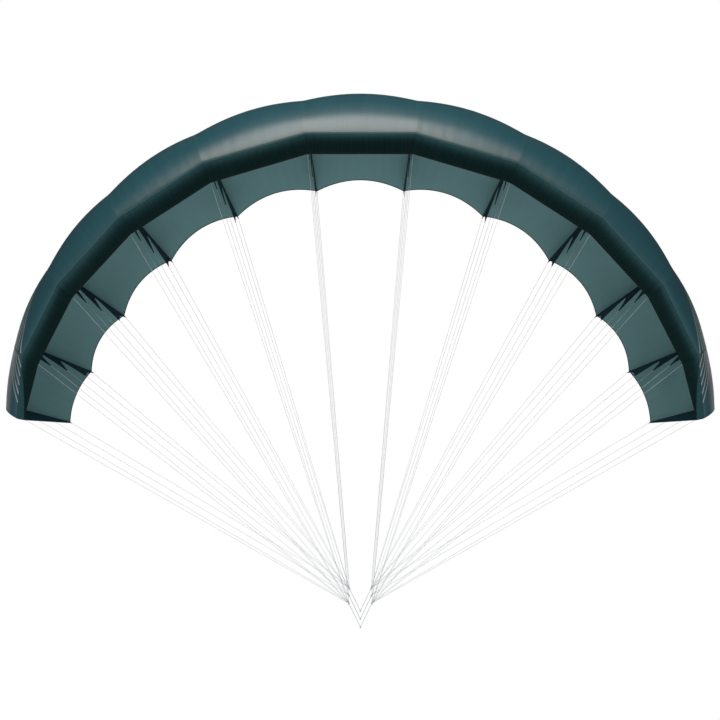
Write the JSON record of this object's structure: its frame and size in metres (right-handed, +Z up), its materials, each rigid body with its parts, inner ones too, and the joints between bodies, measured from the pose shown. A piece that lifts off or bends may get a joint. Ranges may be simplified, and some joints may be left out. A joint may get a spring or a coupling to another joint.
{
  "type": "parawing",
  "caption": "Single-skin parawing in flight: an arched canopy of billowed cloth cells on ribs with line flares, with fans of thin lines drawn together to V leaders.",
  "frame": {"origin": "low end of the front leader line, where the wing is held", "axes": "+X along the span to the right, +Y from the nose to the trailing edge, +Z up to the canopy"},
  "size_m": [3.2084, 1.11, 2.4231],
  "materials": {
    "skin_cloth": "coated ripstop",
    "nose_cloth": "coated ripstop",
    "rib_cloth": "coated ripstop",
    "line_fibre": "bare braided line"
  },
  "bodies": {
    "root": {"skin_panel_1": "skin_cloth", "skin_panel_2": "skin_cloth", "skin_panel_3": "skin_cloth", "skin_panel_4": "skin_cloth", "skin_panel_5": "skin_cloth", "skin_panel_6": "skin_cloth", "skin_panel_7": "skin_cloth", "skin_panel_8": "skin_cloth", "skin_panel_9": "skin_cloth", "skin_panel_10": "skin_cloth", "skin_panel_11": "skin_cloth", "nose_panel_1": "nose_cloth", "nose_panel_2": "nose_cloth", "nose_panel_3": "nose_cloth", "nose_panel_4": "nose_cloth", "nose_panel_5": "nose_cloth", "nose_panel_6": "nose_cloth", "nose_panel_7": "nose_cloth", "nose_panel_8": "nose_cloth", "nose_panel_9": "nose_cloth", "nose_panel_10": "nose_cloth", "nose_panel_11": "nose_cloth", "rib_1_left": "rib_cloth", "rib_1_right": "rib_cloth", "rib_2_left": "rib_cloth", "rib_2_right": "rib_cloth", "rib_3_left": "rib_cloth", "rib_3_right": "rib_cloth", "rib_4_left": "rib_cloth", "rib_4_right": "rib_cloth", "rib_5_left": "rib_cloth", "rib_5_right": "rib_cloth", "tip_rib_left": "rib_cloth", "tip_rib_right": "rib_cloth", "front_lines_left": "line_fibre", "front_lines_right": "line_fibre", "middle_lines_left": "line_fibre", "middle_lines_right": "line_fibre", "rear_lines_left": "line_fibre", "rear_lines_right": "line_fibre", "front_leader": "line_fibre", "middle_leader": "line_fibre", "rear_leader": "line_fibre"}
  },
  "joints": []
}
